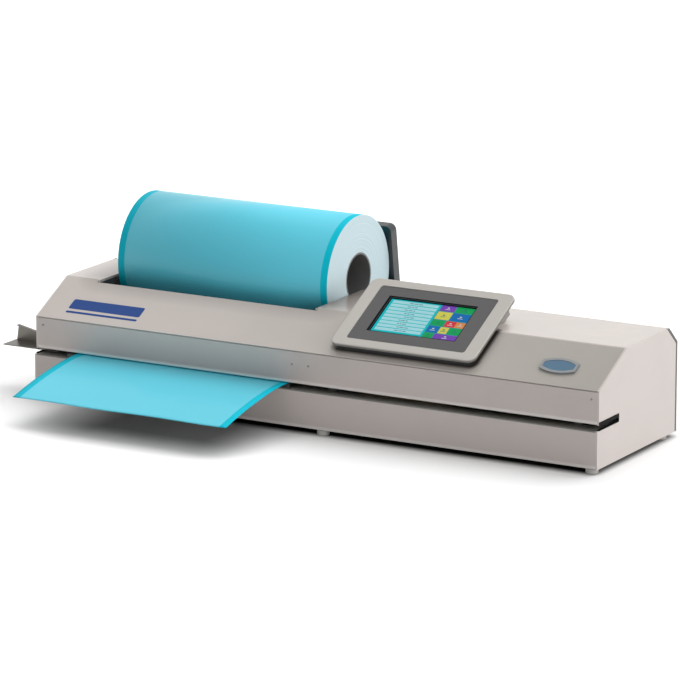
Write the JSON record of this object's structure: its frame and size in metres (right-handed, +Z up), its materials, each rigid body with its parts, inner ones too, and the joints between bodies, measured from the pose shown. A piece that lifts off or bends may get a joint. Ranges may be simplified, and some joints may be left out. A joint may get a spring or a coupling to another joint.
{
  "type": "medical sealing machine",
  "caption": "Benchtop rotary sealer for sterile packaging pouches, with a film reel in a cradle, a film cutter, belt-driven sealing and a sloping touch display.",
  "frame": {"origin": "on the floor under the middle of the machine's outer box, with the film hanging out at the front", "axes": "+X along the machine towards its right side, +Y to the back, +Z up"},
  "size_m": [1.1128, 0.55, 0.3073],
  "materials": {
    "front_paint": "fine textured paint",
    "side_paint": "fine textured paint",
    "cover_paint": "fine textured paint",
    "rear_paint": "satin paint",
    "black_paint": "satin paint",
    "bed_paint": "satin paint",
    "foot_rubber": "matte",
    "trim_rubber": "matte",
    "screw_steel": "satin",
    "stainless": "brushed",
    "blade_steel": "ground",
    "film": "clear blue laminate",
    "core_plastic": "satin",
    "roller_metal": "turned",
    "roller_rubber": "matte",
    "motor_paint": "satin",
    "black_plastic": "matte",
    "belt": "woven, coated",
    "gear_plastic": "moulded",
    "heater_brass": "milled",
    "display_plastic": "moulded",
    "housing_plastic": "moulded",
    "panel_plastic": "satin",
    "screen": "lit colour display",
    "board": "solder mask",
    "badge_metal": "bright rim",
    "badge_blue": "gloss"
  },
  "bodies": {
    "machine": {"base_housing": "front_paint", "left_side_plate": "side_paint", "right_side_plate": "side_paint", "upper_front_panel": "front_paint", "top_cover": "cover_paint", "rear_cover": "rear_paint", "feet": "foot_rubber", "panel_screws": "screw_steel", "left_slot_trim": "trim_rubber", "right_slot_trim": "trim_rubber", "slot_bed": "bed_paint", "film_exit_plate": "black_paint", "infeed_guide": "stainless", "reel_cradle": "black_paint", "backrest": "black_paint", "film_web": "film", "feed_motor": "motor_paint", "cutter_rail": "roller_metal", "rail_brackets": "roller_metal", "cutter_anvil": "stainless", "seal_chassis": "stainless", "lower_belt": "belt", "upper_belt": "belt", "lower_heater": "heater_brass", "upper_heater": "heater_brass", "seal_motor": "motor_paint", "motor_bracket": "stainless", "display_frame": "display_plastic", "display_rear_housing": "housing_plastic", "display_panel": "panel_plastic", "touch_screen": "screen", "display_board": "board", "display_seat": "black_plastic", "badge": "badge_metal", "badge_inlay": "badge_blue", "main_board": "board", "power_supply": "stainless", "mains_inlet": "black_plastic", "switch_bezel": "black_plastic", "fan_frame": "black_plastic"},
    "reel": {"reel_film": "film", "reel_core": "core_plastic"},
    "front_roller": {"front_support_roller": "roller_metal"},
    "rear_roller": {"rear_support_roller": "roller_metal"},
    "feed_roller": {"feed_roller": "roller_rubber"},
    "pinch_roller": {"pinch_roller": "roller_metal"},
    "carriage": {"cutter_carriage": "black_plastic"},
    "blade": {"cutter_wheel": "blade_steel"},
    "lower_drive": {"lower_drive_shaft": "stainless", "lower_drive_pulley": "roller_metal", "lower_sync_gear": "gear_plastic"},
    "upper_drive": {"upper_drive_shaft": "stainless", "upper_drive_pulley": "roller_metal", "upper_sync_gear": "gear_plastic"},
    "lower_idler": {"lower_idler_pulley": "roller_metal"},
    "upper_idler": {"upper_idler_pulley": "roller_metal"},
    "lower_press": {"lower_press_roller": "roller_rubber"},
    "upper_press": {"upper_press_roller": "roller_rubber"},
    "fan": {"fan_rotor": "black_plastic"},
    "rocker": {"power_rocker": "black_plastic"}
  },
  "joints": [
    {"name": "reel_spin", "type": "hinge", "parent": "machine", "child": "reel", "pos_m": [-0.2024, 0.14649, 0.2043], "axis": [1, 0, 0], "continuous": true},
    {"name": "front_roller_spin", "type": "hinge", "parent": "machine", "child": "front_roller", "pos_m": [-0.2024, 0.07186, 0.11536], "axis": [1, 0, 0], "continuous": true},
    {"name": "rear_roller_spin", "type": "hinge", "parent": "machine", "child": "rear_roller", "pos_m": [-0.2024, 0.22064, 0.11594], "axis": [1, 0, 0], "continuous": true},
    {"name": "feed_spin", "type": "hinge", "parent": "machine", "child": "feed_roller", "pos_m": [-0.2024, 0.01699, 0.06465], "axis": [1, 0, 0], "continuous": true},
    {"name": "pinch_spin", "type": "hinge", "parent": "machine", "child": "pinch_roller", "pos_m": [-0.2024, 0.01699, 0.08575], "axis": [1, 0, 0], "continuous": true},
    {"name": "cutter_slide", "type": "slide", "parent": "machine", "child": "carriage", "axis": [1, 0, 0], "range_m": [0, 0.449]},
    {"name": "blade_spin", "type": "hinge", "parent": "carriage", "child": "blade", "pos_m": [-0.4314, -0.00601, 0.0867], "axis": [0, 1, 0], "continuous": true},
    {"name": "seal_drive", "type": "hinge", "parent": "machine", "child": "lower_drive", "pos_m": [0.5056, -0.00601, 0.0599], "axis": [0, 1, 0], "continuous": true},
    {"name": "upper_drive_spin", "type": "hinge", "parent": "machine", "child": "upper_drive", "pos_m": [0.5056, -0.00601, 0.0876], "axis": [0, 1, 0], "continuous": true},
    {"name": "lower_idler_spin", "type": "hinge", "parent": "machine", "child": "lower_idler", "pos_m": [0.0656, -0.05301, 0.0599], "axis": [0, 1, 0], "continuous": true},
    {"name": "upper_idler_spin", "type": "hinge", "parent": "machine", "child": "upper_idler", "pos_m": [0.0656, -0.05301, 0.0876], "axis": [0, 1, 0], "continuous": true},
    {"name": "lower_press_spin", "type": "hinge", "parent": "machine", "child": "lower_press", "pos_m": [0.3506, -0.05301, 0.0629], "axis": [0, 1, 0], "continuous": true},
    {"name": "upper_press_spin", "type": "hinge", "parent": "machine", "child": "upper_press", "pos_m": [0.3506, -0.05301, 0.0846], "axis": [0, 1, 0], "continuous": true},
    {"name": "fan_spin", "type": "hinge", "parent": "machine", "child": "fan", "pos_m": [0.2206, 0.17399, 0.1], "axis": [0, 1, 0], "continuous": true},
    {"name": "rocker_tilt", "type": "hinge", "parent": "machine", "child": "rocker", "pos_m": [0.4956, 0.18699, 0.045], "axis": [1, 0, 0], "range_deg": [0, 22]}
  ],
  "couplings": [
    {"joint": "front_roller_spin", "follows": "reel_spin", "ratio": -8.5833},
    {"joint": "rear_roller_spin", "follows": "reel_spin", "ratio": -8.5833},
    {"joint": "feed_spin", "follows": "reel_spin", "ratio": 9.3636},
    {"joint": "pinch_spin", "follows": "reel_spin", "ratio": -11.444},
    {"joint": "blade_spin", "follows": "cutter_slide", "rad_per_m": 100},
    {"joint": "upper_drive_spin", "follows": "seal_drive", "ratio": -1},
    {"joint": "lower_idler_spin", "follows": "seal_drive", "ratio": 1},
    {"joint": "upper_idler_spin", "follows": "seal_drive", "ratio": -1},
    {"joint": "lower_press_spin", "follows": "seal_drive", "ratio": 1.3333},
    {"joint": "upper_press_spin", "follows": "seal_drive", "ratio": -1.3333}
  ]
}
